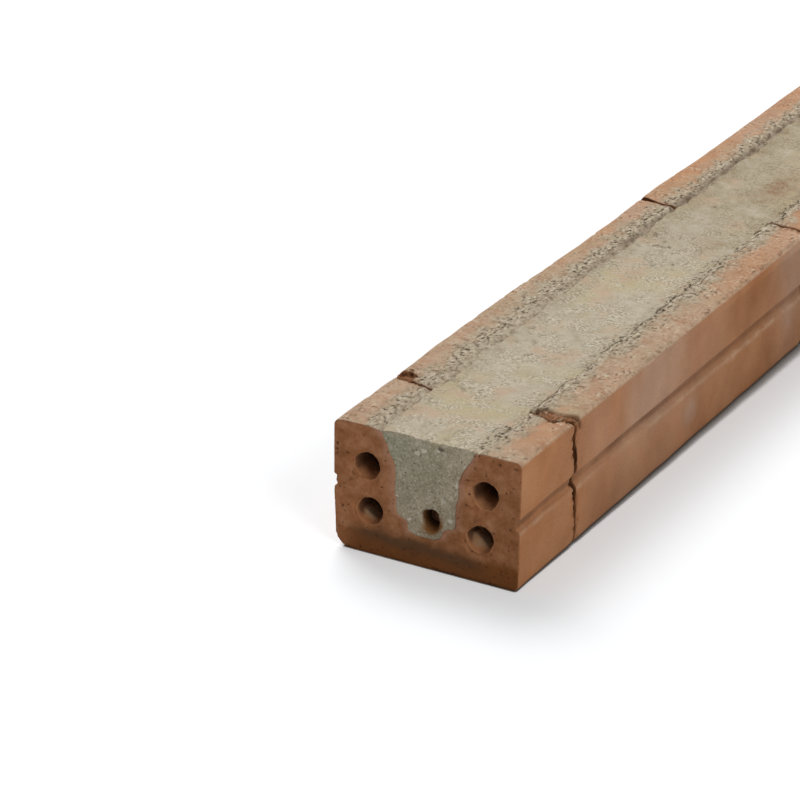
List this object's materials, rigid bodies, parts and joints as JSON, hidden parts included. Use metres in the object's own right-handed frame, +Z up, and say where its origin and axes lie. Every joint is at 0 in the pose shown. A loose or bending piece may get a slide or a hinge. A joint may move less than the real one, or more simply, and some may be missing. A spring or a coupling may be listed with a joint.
{
  "type": "prestressed brick lintel",
  "caption": "Straight lintel of fired-clay trough shells laid end to end, with a concrete core around a prestressing wire, to carry masonry over an opening.",
  "frame": {"origin": "middle of the underside", "axes": "+Z up, Y along the length with the pictured saw-cut end at -Y, X across the width"},
  "size_m": [0.09, 1, 0.06],
  "materials": {
    "fired_clay": "matt fired clay",
    "concrete": "rough concrete",
    "wire_steel": "rusty drawn steel"
  },
  "bodies": {
    "root": {"clay_shell_1": "fired_clay", "clay_shell_2": "fired_clay", "clay_shell_3": "fired_clay", "clay_shell_4": "fired_clay", "clay_shell_5": "fired_clay", "concrete_fill": "concrete", "prestressing_wire": "wire_steel"}
  },
  "joints": []
}
